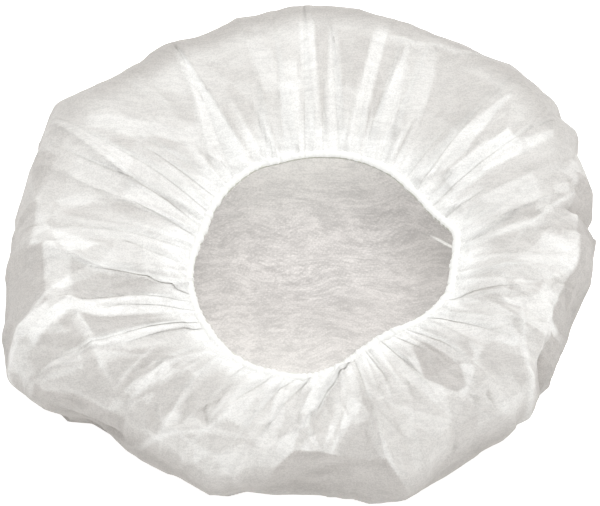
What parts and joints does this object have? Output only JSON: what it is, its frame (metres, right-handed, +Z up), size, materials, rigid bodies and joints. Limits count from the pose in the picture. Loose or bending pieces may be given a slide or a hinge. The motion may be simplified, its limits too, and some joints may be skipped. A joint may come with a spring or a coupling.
{
  "type": "disposable bouffant hair cover cap",
  "caption": "Round nonwoven hair cover lying on its crown, a hollow puffed pouch whose edge is gathered by an elastic band in a rolled hem round the head opening.",
  "frame": {"origin": "on the surface that the cap lies on, under the middle of its overall box", "axes": "+Z up out of the head opening, +X along the cap's longest side, to the right in the picture, +Y away from the viewer"},
  "size_m": [0.302, 0.285, 0.0592],
  "materials": {
    "nonwoven_cloth": "thin white spunbond nonwoven with fine fibres and small bond points, matt and a little see-through",
    "hem_cloth": "white nonwoven rolled round the elastic and gathered into small puckers, matt",
    "elastic": "narrow off-white elastic strip, matt"
  },
  "bodies": {
    "root": {"cap_shell": "nonwoven_cloth", "gathered_hem": "hem_cloth", "elastic_band": "elastic"}
  },
  "joints": []
}
